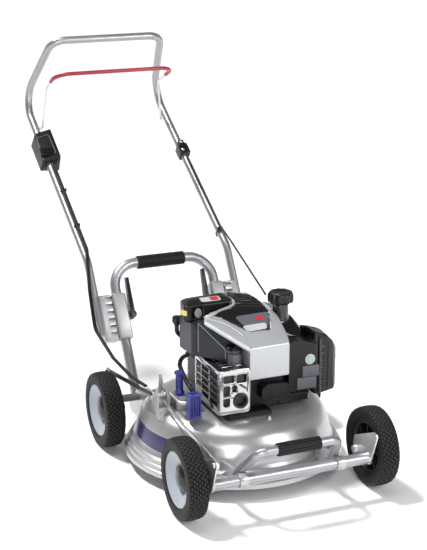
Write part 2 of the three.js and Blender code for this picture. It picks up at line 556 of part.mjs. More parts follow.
// Stop bail: a wire whose out-turned ends pivot in the bar, with a plastic sleeve on its grip.
const bailPath = [
  V(-206, ...BAIL), V(-189, ...BAIL), V(-176, 1269, 811), V(-184, 1150, 868),
  V(184, 1150, 868), V(176, 1269, 811), V(189, ...BAIL), V(206, ...BAIL),
];
const bailEnd = (s) => bailPath[3].clone().lerp(bailPath[2], s);
const gripPath = (s) => [bailEnd(s), bailPath[3], bailPath[4], bailEnd(s).multiply(V(-1, 1, 1))];
add('bail', tube(bailPath, 3, [4, 14, 45, 45, 14, 4], 8, 3), LOOK.zinc);
add('bail_sleeve', cut(
  tube(gripPath(0.52), 6, 45, 8, 3), tube(gripPath(0.9), 3 + GAP, 45, 8, 3),
), LOOK.red);
add('cable_left', tube([
  V(-206, 1128, 614), V(-206, 826, 431), V(-232, 730, 345), V(-236, 676, 250), V(-226, 560, 206),
  V(-225.5, 420, 202), V(-225.5, 312, 214),
], 5, [60, 60, 50, 60, 60], 8, 3), LOOK.black);
add('cable_right', join(
  tube([V(206, 1118, 609), V(206, 860, 454), V(150, 640, 461), V(116, 346, 402)], 3, [40, 60], 8, 3),
  cut(alongBar(box(198, 224, -472, -448, -13, 25)), barRoomAt()),
), LOOK.black);

export default root;
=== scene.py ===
import math

import bmesh
import bpy
from mathutils import Matrix, Vector
from mathutils.bvhtree import BVHTree


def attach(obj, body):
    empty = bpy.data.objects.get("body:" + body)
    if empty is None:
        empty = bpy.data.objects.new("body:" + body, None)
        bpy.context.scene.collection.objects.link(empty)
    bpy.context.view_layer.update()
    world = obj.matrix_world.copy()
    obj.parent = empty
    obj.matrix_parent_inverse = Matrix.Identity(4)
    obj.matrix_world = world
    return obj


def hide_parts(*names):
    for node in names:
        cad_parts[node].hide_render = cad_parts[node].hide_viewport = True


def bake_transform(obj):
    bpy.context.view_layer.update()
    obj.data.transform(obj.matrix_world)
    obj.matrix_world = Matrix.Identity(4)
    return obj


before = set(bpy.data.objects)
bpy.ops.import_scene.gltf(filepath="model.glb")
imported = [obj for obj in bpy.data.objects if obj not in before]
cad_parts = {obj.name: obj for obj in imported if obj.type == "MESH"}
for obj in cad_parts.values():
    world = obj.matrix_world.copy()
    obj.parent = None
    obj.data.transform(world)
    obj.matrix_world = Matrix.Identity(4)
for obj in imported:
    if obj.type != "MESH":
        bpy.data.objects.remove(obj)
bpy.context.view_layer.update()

# Lengths below are in millimetres from the front axle, like the CAD's own layout: x to the
# right as seen from the front, y to the rear, z up from the ground.
CENTRE_Y, DROP = 632.3, 1.519            # where the frame's origin lies in that layout
AXLE_Z, FRONT_X, REAR_X, REAR_Y = 100, 246.5, 278, 478
WHEEL_R = 98.4
DECK_Y, DECK_TOP = 286, 171
FRONT_TUBE, REAR_TUBE = (-57, 98), (548, 92)
U_R, U_X, U_TOP, U_FOOT = 14, 146, (800, 386), (591, 46)
BAR_R, BAR_FOOT, BAR_LOW, BAR_HIGH, BAR_TOP = 11, (700, 222), (813, 401), (1401, 758), (1224, 955)
BAR_TILT = math.atan2(BAR_HIGH[1] - BAR_LOW[1], BAR_HIGH[0] - BAR_LOW[0])
CONTROL_Y = 1255                         # where the control box sits on the bar
BAIL = (1285, 687.6)
KNOB = (-160, 250)
OUTLET = (-49, 216)                      # x and z of the exhaust
FUEL_FILLER, OIL_FILLER = (108, 240), (-129, 345)
CLIP = (147, 288)
SIDES = (("left", -1), ("right", 1))


def place(v):
    """Layout millimetres to the frame's metres."""
    return Vector((v[0] / 1000, (v[1] - CENTRE_Y) / 1000, (v[2] - DROP) / 1000))


# ------------------------------------------------------------------ materials
COLOUR_NOISE, ROUGHNESS_NOISE, WEAR_NOISE = (14, 5), (45, 4), (90, 3)      # scale and detail
DULL_BELOW, DULL_SPECULAR = 0.05, 0.28   # black and slate plastic or rubber shines little


def material(name, rgb, rough, metal=0.0, mottle=0.06, grain=900, bump=0.1, vary=0.06,
             coat=0.0, wear=0.0, slot=""):
    """Noise-driven colour, roughness and grain; wear lightens convex edges."""
    m = bpy.data.materials.new(name)
    m.use_nodes = True
    nodes, links = m.node_tree.nodes, m.node_tree.links
    shader = nodes["Principled BSDF"]
    shader.inputs["Metallic"].default_value = metal
    shader.inputs["Coat Weight"].default_value = coat
    shader.inputs["Coat Roughness"].default_value = 0.08
    if metal < 0.3 and max(rgb) < DULL_BELOW:
        shader.inputs["Specular IOR Level"].default_value = DULL_SPECULAR
    coords = nodes.new("ShaderNodeTexCoord")

    def noise(scale, detail):
        n = nodes.new("ShaderNodeTexNoise")
        n.inputs["Scale"].default_value = scale
        n.inputs["Detail"].default_value = detail
        links.new(coords.outputs["Object"], n.inputs["Vector"])
        return n.outputs["Fac"]

    def mix(factor, a, b):
        n = nodes.new("ShaderNodeMix")
        n.data_type = "RGBA"
        links.new(factor, n.inputs[0])
        for socket, value in ((n.inputs[6], a), (n.inputs[7], b)):
            if isinstance(value, bpy.types.NodeSocket):
                links.new(value, socket)
            else:
                socket.default_value = (*value, 1)
        return n.outputs[2]

    dark = [c * (1 - mottle) for c in rgb]
    light = [min(1, c * (1 + mottle)) for c in rgb]
    colour = mix(noise(*COLOUR_NOISE), dark, light)
    if wear:
        edge = nodes.new("ShaderNodeNewGeometry").outputs["Pointiness"]
        ramp = nodes.new("ShaderNodeMapRange")
        ramp.inputs["From Min"].default_value = 0.52
        ramp.inputs["From Max"].default_value = 0.62
        ramp.inputs["To Max"].default_value = wear
        links.new(edge, ramp.inputs["Value"])
        worn = nodes.new("ShaderNodeMath")
        worn.operation = "MULTIPLY"
        links.new(ramp.outputs["Result"], worn.inputs[0])
        links.new(noise(*WEAR_NOISE), worn.inputs[1])
        colour = mix(worn.outputs[0], colour, [min(1, c * 1.6 + 0.12) for c in rgb])
    links.new(colour, shader.inputs["Base Color"])
    spread = nodes.new("ShaderNodeMapRange")
    spread.inputs["To Min"].default_value = max(0.02, rough - vary)
    spread.inputs["To Max"].default_value = rough + vary
    links.new(noise(*ROUGHNESS_NOISE), spread.inputs["Value"])
    links.new(spread.outputs["Result"], shader.inputs["Roughness"])
    relief = nodes.new("ShaderNodeBump")
    relief.inputs["Strength"].default_value = bump
    relief.inputs["Distance"].default_value = 0.0006
    links.new(noise(grain, 2), relief.inputs["Height"])
    links.new(relief.outputs["Normal"], shader.inputs["Normal"])
    m["slot"] = slot
    return m


PAINT = material("silver_paint", (0.48, 0.48, 0.49), 0.31, 0.7, 0.05, 2600, 0.02, 0.03,
                 coat=0.2, slot="deck")
TUBE = material("silver_tube", (0.37, 0.37, 0.39), 0.37, 0.8, 0.05, 2200, 0.05, 0.06, slot="tube")
CAST = material("cast_aluminium", (0.46, 0.46, 0.47), 0.40, 0.85, 0.08, 700, 0.25, 0.08,
                wear=0.4, slot="casting")
ZINC = material("zinc_plate", (0.68, 0.68, 0.66), 0.32, 0.95, 0.12, 500, 0.12, 0.1, slot="zinc")
AXLE = material("plated_axle", (0.60, 0.605, 0.61), 0.36, 0.9, 0.08, 800, 0.1, 0.08, slot="axle")
AXLE_DARK = material("dark_axle", (0.20, 0.205, 0.21), 0.45, 0.7, 0.1, 800, 0.1, 0.08, slot="axle_dark")
STEEL = material("bare_steel", (0.42, 0.42, 0.42), 0.38, 0.95, 0.15, 350, 0.15, 0.1, slot="steel")
CHROME = material("bright_chrome", (0.50, 0.50, 0.505), 0.12, 1.0, 0.05, 300, 0.06, 0.05, slot="chrome")
SOOT = material("dark_muffler", (0.05, 0.047, 0.045), 0.6, 0.6, 0.25, 400, 0.25, 0.1, slot="steel")
RUBBER = material("tyre_rubber", (0.010, 0.010, 0.011), 0.62, 0.0, 0.25, 1100, 0.3, 0.1,
                  wear=0.35, slot="tyre")
RIM = material("pale_plastic", (0.33, 0.365, 0.41), 0.38, 0.0, 0.03, 1500, 0.05, 0.05, slot="rim")
CAP = material("hub_black", (0.010, 0.010, 0.011), 0.22, 0.0, 0.1, 1500, 0.04, 0.05, coat=0.3, slot="cap")
GRIP = material("grip_rubber", (0.006, 0.006, 0.0065), 0.5, 0.0, 0.2, 1600, 0.2, 0.1, wear=0.2, slot="grip")
BLACK = material("black_plastic", (0.006, 0.006, 0.0065), 0.34, 0.0, 0.2, 1800, 0.14, 0.08,
                 coat=0.1, wear=0.2, slot="black")
GLOSS = material("black_gloss", (0.005, 0.005, 0.0055), 0.14, 0.0, 0.1, 1400, 0.03, 0.05,
                 coat=0.7, slot="gloss")
SILVER = material("silver_plastic", (0.46, 0.47, 0.49), 0.32, 0.5, 0.04, 3000, 0.06, 0.04,
                  coat=0.15, slot="silver")
GREY = material("slate_plastic", (0.026, 0.029, 0.037), 0.36, 0.0, 0.1, 2000, 0.14, 0.06,
                wear=0.2, slot="grey")
LATCH = material("latch_grey", (0.20, 0.205, 0.215), 0.38, 0.1, 0.08, 2000, 0.12, 0.06, slot="grey")
ENGINE = material("engine_black", (0.007, 0.007, 0.0075), 0.36, 0.1, 0.2, 500, 0.25, 0.1,
                  wear=0.3, slot="engine")
BLUE = material("blue_plastic", (0.012, 0.016, 0.17), 0.3, 0.0, 0.1, 1500, 0.1, 0.06,
                coat=0.2, wear=0.3, slot="blue")
RED = material("red_plastic", (0.30, 0.012, 0.028), 0.34, 0.0, 0.1, 1500, 0.12, 0.06,
               coat=0.2, wear=0.3, slot="red")
DARK = material("dark_steel", (0.045, 0.045, 0.047), 0.42, 0.6, 0.15, 700, 0.2, 0.08, slot="link_dark")
BAND = material("navy_band", (0.022, 0.018, 0.085), 0.3, 0.0, 0.08, 2500, 0.03, 0.04, coat=0.2, slot="deck")
LABEL = material("pale_label", (0.42, 0.43, 0.45), 0.4, 0.0, 0.05, 2500, 0.03, 0.05, slot="silver")
YELLOW = material("yellow_label", (0.70, 0.62, 0.12), 0.45, 0.0, 0.06, 2500, 0.03, 0.05, slot="black")
CRIMSON = material("crimson_label", (0.42, 0.02, 0.035), 0.4, 0.0, 0.06, 2500, 0.03, 0.05, slot="black")
MINT = material("mint_disc", (0.32, 0.46, 0.34), 0.35, 0.0, 0.05, 2500, 0.03, 0.05, coat=0.3, slot="black")
PLATE = material("grey_plate", (0.085, 0.09, 0.105), 0.45, 0.0, 0.08, 2000, 0.12, 0.06, slot="grey")


# ------------------------------------------------------------------- building
def dress(name, mesh, mat, body, nodes=(), sharp=38):
    """Object from a mesh: material, smooth faces, and what the frame needs to know of it."""
    bm = bmesh.new()
    bm.from_mesh(mesh)
    bmesh.ops.remove_doubles(bm, verts=bm.verts, dist=2e-6)
    bmesh.ops.recalc_face_normals(bm, faces=bm.faces)
    bm.to_mesh(mesh)
    bm.free()
    mesh.materials.clear()
    mesh.materials.append(mat)
    mesh.shade_smooth()
    mesh.set_sharp_from_angle(angle=math.radians(sharp))
    ob = bpy.data.objects.new(name, mesh)
    bpy.context.scene.collection.objects.link(ob)
    if body:
        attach(ob, body)
    if nodes:
        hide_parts(*nodes)
    return ob


def put(name, parts, mat, body, nodes=(), sharp=38):
    """One object from [(verts in mm, faces), ...]."""
    verts, faces = [], []
    for vs, fs in parts:
        base = len(verts)
        verts += [place(v) for v in vs]
        faces += [[base + i for i in f] for f in fs]
    mesh = bpy.data.meshes.new(name)
    mesh.from_pydata(verts, [], faces)
    mesh.validate()
    return dress(name, mesh, mat, body, nodes, sharp)


def about_z(x, y, z=0):
    """Places a lathe's (a, b, height) with its axis upright."""
    return lambda a, b, h: (x + a, y + b, z + h)


def about_x(x, y, z, side=1):
    """Places a lathe's (a, b, height) with its axis across the mower."""
    return lambda a, b, h: (x + side * h, y + a, z + b)


def lathe(profile, to, seg=64, closed=None):
    """Solid of revolution of (radius, height) points; closed on itself unless it ends on the axis."""
    closed = (profile[0][0] > 1e-6 and profile[-1][0] > 1e-6) if closed is None else closed
    verts, rings, faces = [], [], []
    for r, h in profile:
        if r < 1e-6:
            rings.append([len(verts)] * seg)
            verts.append(to(0, 0, h))
        else:
            rings.append(list(range(len(verts), len(verts) + seg)))
            verts += [to(r * math.cos(2 * math.pi * k / seg), r * math.sin(2 * math.pi * k / seg), h)
                      for k in range(seg)]
    pairs = list(zip(rings, rings[1:])) + ([(rings[-1], rings[0])] if closed else [])
    for a, b in pairs:
        for k in range(seg):
            f = [a[k], a[(k + 1) % seg], b[(k + 1) % seg], b[k]]
            f = list(dict.fromkeys(f))
            if len(f) > 2:
                faces.append(f)
    return verts, faces


def soft_corners(points, radius, n=4, closed=False):
    """Rounds each corner of a polyline with a small curve."""
    out, count = [], len(points)
    for i in range(count):
        b = Vector(points[i])
        if not closed and i in (0, count - 1):
            out.append(tuple(b))
            continue
        a, c = Vector(points[i - 1]), Vector(points[(i + 1) % count])
        r = radius[i] if isinstance(radius, (list, tuple)) else radius
        p = b + (a - b).normalized() * min(r, (a - b).length * 0.48)
        q = b + (c - b).normalized() * min(r, (c - b).length * 0.48)
        out += [tuple(p.lerp(b, t).lerp(b.lerp(q, t), t)) for t in (k / n for k in range(n + 1))]
    return out


def bent(points, radii, n=10):
    """Straight runs joined by true arcs."""
    pts = [Vector(v) for v in points]
    out = [pts[0]]
    for i in range(1, len(pts) - 1):
        r = radii[i - 1] if isinstance(radii, (list, tuple)) else radii
        a, b = (pts[i] - pts[i - 1]).normalized(), (pts[i + 1] - pts[i]).normalized()
        ang = a.angle(b)
        if ang < 1e-3:
            continue
        centre = pts[i] + (b - a).normalized() * (r / math.cos(ang / 2))
        start = pts[i] - a * (r * math.tan(ang / 2)) - centre
        axis = a.cross(b).normalized()
        out += [centre + Matrix.Rotation(ang * k / n, 3, axis) @ start for k in range(n + 1)]
    return out + [pts[-1]]


def spread_out(path, step):
    """Adds points along the straight runs of a path, at most a step apart."""
    out = [path[0]]
    for a, b in zip(path, path[1:]):
        n = max(1, math.ceil((b - a).length / step))
        out += [a.lerp(b, k / n) for k in range(1, n + 1)]
    return out


def sweep(path, section, scale=None):
    """Closed section carried along a path without twist; scale(i) sizes it along the way."""
    path = [Vector(v) for v in path]
    last = len(path) - 1
    tangents = [(path[min(i + 1, last)] - path[max(i - 1, 0)]).normalized() for i in range(last + 1)]
    side = tangents[0].orthogonal().normalized()
    verts, faces, n = [], [], len(section)
    for i, (v, t) in enumerate(zip(path, tangents)):
        side = (side - t * side.dot(t)).normalized()
        up = t.cross(side)
        k = scale(i) if scale else 1
        verts += [tuple(v + side * (a * k) + up * (b * k)) for a, b in section]
    for i in range(len(path) - 1):
        for k in range(n):
            a, b = i * n + k, i * n + (k + 1) % n
            faces.append([a, b, b + n, a + n])
    faces.append(list(range(n)))
    faces.append(list(range((len(path) - 1) * n, len(path) * n)))
    return verts, faces


def circle(r, n=28):
    """Round section."""
    return [(r * math.cos(2 * math.pi * k / n), r * math.sin(2 * math.pi * k / n)) for k in range(n)]


def ribbed(r, depth, lobes):
    """Round section with lengthwise ribs."""
    out = []
    for k in range(lobes):
        for f, d in ((0, 0), (0.5, 0), (0.62, depth), (0.88, depth)):
            a = 2 * math.pi * (k + f) / lobes
            out.append(((r - d) * math.cos(a), (r - d) * math.sin(a)))
    return out


def tube(points, r, radii, n=10, sides=28):
    """Round bar through straight runs and arcs."""
    path = bent(points, radii, n)
    return sweep([path[0], path[0].lerp(path[1], 0.0005)] + path[1:], circle(r, sides))


def brick(x0, x1, y0, y1, z0, z1, r=1.5, n=3, turn=None):
    """Box with rounded edges; turn maps its own frame to the layout."""
    bm = bmesh.new()
    bmesh.ops.create_cube(bm, size=1)
    for v in bm.verts:
        v.co = Vector((x0 if v.co.x < 0 else x1, y0 if v.co.y < 0 else y1, z0 if v.co.z < 0 else z1))
    r = min(r, 0.45 * min(x1 - x0, y1 - y0, z1 - z0))
    bmesh.ops.bevel(bm, geom=bm.edges[:], offset=r, segments=n, profile=0.5, affect="EDGES")
    verts = [turn(v.co) if turn else tuple(v.co) for v in bm.verts]
    bm.verts.index_update()
    faces = [[v.index for v in f.verts] for f in bm.faces]
    bm.free()
    return verts, faces


def panel(outline, holes, depth, edge, to):
    """Flat plate with rounded edges and holes, drawn in its own plane; to(a, b, h) places it."""
    curve = bpy.data.curves.new("panel", "CURVE")
    curve.dimensions, curve.fill_mode = "2D", "BOTH"
    curve.extrude, curve.bevel_depth, curve.bevel_resolution = depth / 2 - edge, edge, 2
    curve.offset = -edge
    for ring in [outline, *holes]:
        line = curve.splines.new("POLY")
        line.points.add(len(ring) - 1)
        for k, (a, b) in enumerate(ring):
            line.points[k].co = (a, b, 0, 1)
        line.use_cyclic_u = True
    ob = bpy.data.objects.new("panel", curve)
    bpy.context.scene.collection.objects.link(ob)
    bpy.context.view_layer.update()
    mesh = bpy.data.meshes.new_from_object(ob.evaluated_get(bpy.context.evaluated_depsgraph_get()))
    out = ([to(*v.co) for v in mesh.vertices], [list(f.vertices) for f in mesh.polygons])
    bpy.data.objects.remove(ob)
    bpy.data.curves.remove(curve)
    bpy.data.meshes.remove(mesh)
    return out


def bar_frame(v):
    """From (x, along the bar, off the bar) at the control box to the layout."""
    c, s = math.cos(BAR_TILT), math.sin(BAR_TILT)
    box_z = BAR_LOW[1] + math.tan(BAR_TILT) * (CONTROL_Y - BAR_LOW[0])
    return (v[0], CONTROL_Y + v[1] * c - v[2] * s, box_z + v[1] * s + v[2] * c)


def modified(node, *modifiers):
    """Mesh of a CAD node's copy with modifiers applied."""
    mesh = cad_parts[node].data.copy()
    bm = bmesh.new()
    bm.from_mesh(mesh)
    bmesh.ops.remove_doubles(bm, verts=bm.verts, dist=1e-5)
    bmesh.ops.dissolve_limit(bm, angle_limit=math.radians(1.0), verts=bm.verts, edges=bm.edges)
    bm.to_mesh(mesh)
    bm.free()
    ob = bpy.data.objects.new("work", mesh)
    bpy.context.scene.collection.objects.link(ob)
    for kind, settings in modifiers:
        m = ob.modifiers.new(kind, kind)
        for key, value in settings.items():
            setattr(m, key, value)
    bpy.context.view_layer.update()
    out = bpy.data.meshes.new_from_object(ob.evaluated_get(bpy.context.evaluated_depsgraph_get()))
    bpy.data.objects.remove(ob)
    return out


def softened(node, mat, body, voxel=1.8, smooth=12, sink=0.0):
    """A moulded body: the CAD node remeshed finely, its edges rounded."""
    mods = [("REMESH", {"mode": "VOXEL", "voxel_size": voxel / 1000})]
    if sink:
        mods.append(("DISPLACE", {"strength": -sink / 1000, "mid_level": 0.0}))
    mods.append(("SMOOTH", {"factor": 0.5, "iterations": smooth}))
    mesh = modified(node, *mods)
    dress(node + "_body", mesh, mat, body, (node,), sharp=60)


def bevelled(node, mat, body, width=1.0, segments=3, sharp=32):
    """A machined or cast piece: the CAD node with its edges broken."""
    mesh = modified(node, ("BEVEL", {
        "width": width / 1000, "segments": segments, "limit_method": "ANGLE",
        "angle_limit": math.radians(28), "use_clamp_overlap": True,
    }))
    dress(node + "_piece", mesh, mat, body, (node,), sharp)


def skin_of(*names):
    """Surface of finished pieces, to lay details on."""
    verts, faces = [], []
    for name in names:
        mesh, base = bpy.data.objects[name].data, len(verts)
        verts += [v.co.copy() for v in mesh.vertices]
        faces += [[base + i for i in p.vertices] for p in mesh.polygons]
    return BVHTree.FromPolygons(verts, faces)


def patch(name, skin, corners, towards, mat, body, lift=0.3, nu=14, nv=10, shape="panel", reach=60):
    """A thin label: a grid between four corners, dropped on a surface along a direction."""
    a, b, c, d = (Vector(v) for v in corners)
    direction = Vector(towards).normalized()
    verts, faces = [], []
    for j in range(nv + 1):
        for i in range(nu + 1):
            u, v = i / nu, j / nv
            if shape == "disc":
                s, t = 2 * u - 1, 2 * v - 1
                u = 0.5 + 0.5 * s * math.sqrt(1 - t * t / 2)
                v = 0.5 + 0.5 * t * math.sqrt(1 - s * s / 2)
            elif shape == "panel":
                s, t = 2 * u - 1, 2 * v - 1
                corner = 0.10                    # how far the grid's corners draw in
                u = 0.5 + 0.5 * s * (1 - corner * t ** 8)
                v = 0.5 + 0.5 * t * (1 - corner * s ** 8)
            q = a.lerp(b, u).lerp(d.lerp(c, u), v)
            hit, normal, _, _ = skin.ray_cast(place(q - direction * reach), direction, 0.2)
            if hit is None:
                hit, normal = place(q), -direction
            if normal.dot(direction) > 0:
                normal = -normal
            verts.append(hit + normal * (lift / 1000))
    w = nu + 1
    for j in range(nv):
        for i in range(nu):
            k = j * w + i
            faces.append([k, k + 1, k + w + 1, k + w])
    mesh = bpy.data.meshes.new(name)
    mesh.from_pydata(verts, [], faces)
    dress(name, mesh, mat, body, (), 60)


# --------------------------------------------------------------------- wheels
TREAD_HALF, TREAD_DEPTH, TREAD_ROWS, BEAD_R = 22.6, 3.0, 7, 67.6
PITCH, STAGGER = 6, 0.7                  # steps from one block to the next; their shift sideways
AROUND = 56 * PITCH
SHOULDER, FLANK = (93, 95), (86, 90)     # radii that carry notches and ridges


def tyre_section():
    """(radius, height, row of blocks or None, on a block's top) round a tyre's section."""
    flank = soft_corners([(BEAD_R, -22), (72, -25.0), (88, -25.2), (94.2, -23.2)], 2.2, 3)
    line = [(r, h, None, 0) for r, h in flank]
    width = 2 * TREAD_HALF / TREAD_ROWS
    for row in range(TREAD_ROWS):
        x0 = -TREAD_HALF + 2 * TREAD_HALF * row / TREAD_ROWS
        for h, top in ((x0 + 0.1, 0), (x0 + width * 0.2, 1), (x0 + width * 0.8, 1), (x0 + width - 0.1, 0)):
            crown = WHEEL_R - 3.2 * (abs(h) / TREAD_HALF) ** 2.4
            line.append((crown, h, row, top))
    line += [(r, -h, None, 0) for r, h in reversed(flank)]
    return line + [(BEAD_R, 20, None, 0), (BEAD_R, -20, None, 0)]


def tyre(x, y, side):
    """Turf tyre: rows of staggered blocks between two ribbed shoulders."""
    line = tyre_section()
    verts, faces = [], []
    for r, h, row, top in line:
        for k in range(AROUND):
            a = 2 * math.pi * k / AROUND
            rr, hh = r, h
            if row is not None:
                in_gap = (k + (PITCH // 2 if row % 2 else 0)) % PITCH == 0
                rr = r if top and not in_gap else r - TREAD_DEPTH
                hh = h + (STAGGER if (k // PITCH + row) % 2 else -STAGGER) * top
            elif SHOULDER[0] < r < SHOULDER[1]:
                rr = r - (1.6 if k % PITCH == 0 else 0)
            elif FLANK[0] < r < FLANK[1]:
                hh = h + (0.5 if k % PITCH == 0 else 0) * (1 if h < 0 else -1)
            verts.append((x + side * hh, y + rr * math.cos(a), AXLE_Z + rr * math.sin(a)))
    for i in range(len(line)):
        j = (i + 1) % len(line)
        for k in range(AROUND):
            q = (k + 1) % AROUND
            faces.append([i * AROUND + k, i * AROUND + q, j * AROUND + q, j * AROUND + k])
    return verts, faces


DISC_PROFILE = soft_corners([
    (67.4, 21.6), (64.5, 22.3), (62.4, 19.6), (50, 13.4), (37, 8.4), (34.4, 4.2), (30, 3.9), (30, 1.8),
    (50, 8), (60, 14), (67.4, 17),
], 1.4, 4, closed=True)
CORE_PROFILE = soft_corners([
    (6.5, -24), (14, -24), (17, -4), (52, 2), (58, -17), (67.4, -20.5), (67.4, 16.8), (60, 13.8),
    (50, 7.6), (29.6, 1.6), (29.6, 4.2), (6.5, 4.2),
], 1.6, 4, closed=True)
CAP_PROFILE = soft_corners([
    (0, 4.6), (30.5, 4.6), (31.6, 7.6), (28, 10.8), (20, 15.6), (10, 18.6), (0, 19.4),
], 2.4, 5)


def spoke(x, y, side, angle):
    """Web on the inner face of a wheel."""
    c, s = math.cos(angle), math.sin(angle)
    return brick(17, 57, -1.6, 1.6, -16, 0.5, 1.2, 2, lambda v: (
        x + side * v[2], y + v[0] * c - v[1] * s, AXLE_Z + v[0] * s + v[1] * c))


def wheel(end, side, x, y, s):
    """Tyre, pale disc, black core with spokes whose inner face is painted shade, and hub cap."""
    body, axis = f"wheel_{end}_{side}", about_x(x, y, AXLE_Z, s)
    put(f"{body}_tyre", [tyre(x, y, s)], RUBBER, body, (f"tyre_{end}_{side}",), 30)
    put(f"{body}_disc", [lathe(DISC_PROFILE, axis, 96)], RIM, body, (f"rim_{end}_{side}",))
    # The core is black like the hub cap; its black inner face is painted shade standing for the dark inside
    # of the wheel.
    put(f"{body}_shaded_core", [
        lathe(CORE_PROFILE, axis, 96), *[spoke(x, y, s, k * math.pi / 4) for k in range(8)],
    ], CAP, body)
    put(f"{body}_cap", [
        lathe(CAP_PROFILE, axis, 64),
        lathe([(r + 31.9, h + 8.2) for r, h in circle(0.9, 10)], axis, 64, True),
    ], CAP, body, (f"hub_cap_{end}_{side}",))


for end, y, x in (("front", 0, FRONT_X), ("rear", REAR_Y, REAR_X)):
    for side, s in SIDES:
        wheel(end, side, s * x, y, s)

# ----------------------------------------------------------------------- deck
OUTER = soft_corners([
    (277, 32), (277, 43.5), (270.4, 46.5), (270.4, 55), (263.6, 57.5), (263.6, 66), (254, 69.5),
    (248, 80), (244, 102), (237, 126), (224, 147), (205, 161), (180, 168.6), (150, DECK_TOP),
    (52, DECK_TOP),
], [0, 2.6, 2.6, 2.6, 2.6, 2.6, 5, 5, 8, 10, 10, 10, 10, 10, 0], 6)
SHEET, RIM_TOP = 2.6, 66                 # the dome is thinned inward and down, the rim only inward
INNER = [(r - SHEET, z - (SHEET if z > RIM_TOP else 0)) for r, z in OUTER]


def deck_radius(z):
    """Radius of the deck's outside at a height between its rim and its top."""
    (r0, z0), (r1, z1) = next(
        (a, b) for a, b in zip(OUTER, OUTER[1:]) if a[1] <= z <= b[1] and b[1] > a[1])
    return r0 + (r1 - r0) * (z - z0) / (z1 - z0)


def deck_band():
    """Coloured band laid round the left of the dome."""
    low, height, rows = 82, 38, 8
    first, turn, steps = 158, 66, 40     # degrees round the dome
    verts, faces = [], []
    for j in range(rows + 1):
        z = low + height * j / rows
        r = deck_radius(z) + 0.45
        for i in range(steps + 1):
            a = math.radians(first + turn * i / steps)
            verts.append((r * math.cos(a), DECK_Y + r * math.sin(a), z))
    for j in range(rows):
        for i in range(steps):
            k = j * (steps + 1) + i
            faces.append([k, k + 1, k + steps + 2, k + steps + 1])
    return verts, faces


BOLT_HEAD = soft_corners([(0, 0), (7, 0), (7, 2.4), (4.6, 3.2), (4.6, 7), (3, 8), (0, 8)], 0.6, 3)
BOLTS = (18, 106, 166.5), (-134, 300, DECK_TOP), (136, 300, DECK_TOP), (0, 434, DECK_TOP)
put("deck_shell", [lathe(OUTER + INNER[::-1], about_z(0, DECK_Y), 192, True)], PAINT, "chassis",
    ("deck",), 50)
put("deck_band", [deck_band()], BAND, "chassis", (), 60)
put("deck_bolts", [lathe(BOLT_HEAD, about_z(*at), 24) for at in BOLTS], ZINC, "chassis", (), 38)

# ---------------------------------------------------------------- axle cranks
bevelled("front_axle", AXLE, "front_crank", 0.9)
bevelled("rear_axle", AXLE_DARK, "rear_crank", 0.9)
put("front_axle_sleeve", [
    lathe([(14.15, -199), (14.15, 199), (13.2, 199.4), (13.2, -199.4)], about_x(0, *FRONT_TUBE), 40, True),
], TUBE, "front_crank")
put("rear_axle_sleeve", [
    lathe([(10.15, -232), (10.15, 232), (9.4, 232.4), (9.4, -232.4)], about_x(0, *REAR_TUBE), 40, True),
], AXLE_DARK, "rear_crank")
for side, _ in SIDES:
    bevelled(f"rear_bracket_{side}", PAINT, "chassis", 1.6)

# -------------------------------------------------------------- lifting handles
LUG = [(-40, 86), (-32, 106), (-6, 108), (64, 100), (64, 66), (-22, 68)]
LUG_X = 126
for side, s in SIDES:
    put(f"front_lug_{side}_plate", [
        panel(LUG, [], 9, 1.4, lambda a, b, h, s=s: (s * (LUG_X + h), a, b)),
        lathe(soft_corners([(14.6, -11), (17.2, -11), (17.2, 11), (14.6, 11)], 0.8, 2, True),
              about_x(s * LUG_X, *FRONT_TUBE), 40, True),
    ], PAINT, "chassis", (f"front_lug_{side}",))
LIFT_TOP = (-92, 176)
FRONT_LIFT = [(-LUG_X, -12, 84), (-124, -30, 108), (-102, *LIFT_TOP)]
FRONT_LIFT += [(-x, y, z) for x, y, z in reversed(FRONT_LIFT)]
put("front_lift_tube", [tube(FRONT_LIFT, 11, [60, 26, 26, 60])], TUBE, "chassis",
    ("front_lift_handle",))
LEGS = [(-U_X, *U_FOOT), (-U_X, *U_TOP), (U_X, *U_TOP), (U_X, *U_FOOT)]
put("lift_tube", [tube(LEGS, U_R, 68, 16, 32)], TUBE, "chassis", ("lift_handle",))


def handgrip(half, r, y, z, lobes):
    """Ribbed sleeve across the mower, narrowed at both ends."""
    path = [Vector((x, y, z)) for x in (-half, -half + 1.2, -half + 3.5, -half + 3.6)]
    path += [Vector((-v.x, y, z)) for v in reversed(path)]
    sizes = [0.90, 0.98, 1, 1, 1, 1, 0.98, 0.90]
    return sweep(path, ribbed(r, 1.9, lobes), lambda i: sizes[i])


put("front_lift_sleeve", [handgrip(55, 15.9, *LIFT_TOP, 16)], GRIP, "chassis", ("front_lift_grip",), 25)
put("lift_sleeve", [handgrip(70, 18.4, *U_TOP, 18)], GRIP, "chassis", ("lift_grip",), 25)

# ------------------------------------------------------------------ handlebar
BAR_FOOT_X = 208
BAR = [(-BAR_FOOT_X, *BAR_FOOT), (-209, *BAR_LOW), (-211, *BAR_HIGH), (-169, *BAR_TOP)]
BAR += [(-x, y, z) for x, y, z in reversed(BAR)]
FOOT_DIRECTION = Vector((0, 0.534, 0.846))


def bar_plug(s):
    """Plug in the end of the bar's tube."""
    foot = Vector((s * BAR_FOOT_X, *BAR_FOOT))
    right, back = Vector((1, 0, 0)), Vector((0, -FOOT_DIRECTION.z, FOOT_DIRECTION.y))
    profile = [(0, -1), (10, -1), (11.6, 0), (11.6, 6), (11.2, 6), (11.2, 0.4), (0, 0.4)]
    return lathe(profile, lambda a, b, h: tuple(foot + right * a + back * b + FOOT_DIRECTION * h), 28, True)


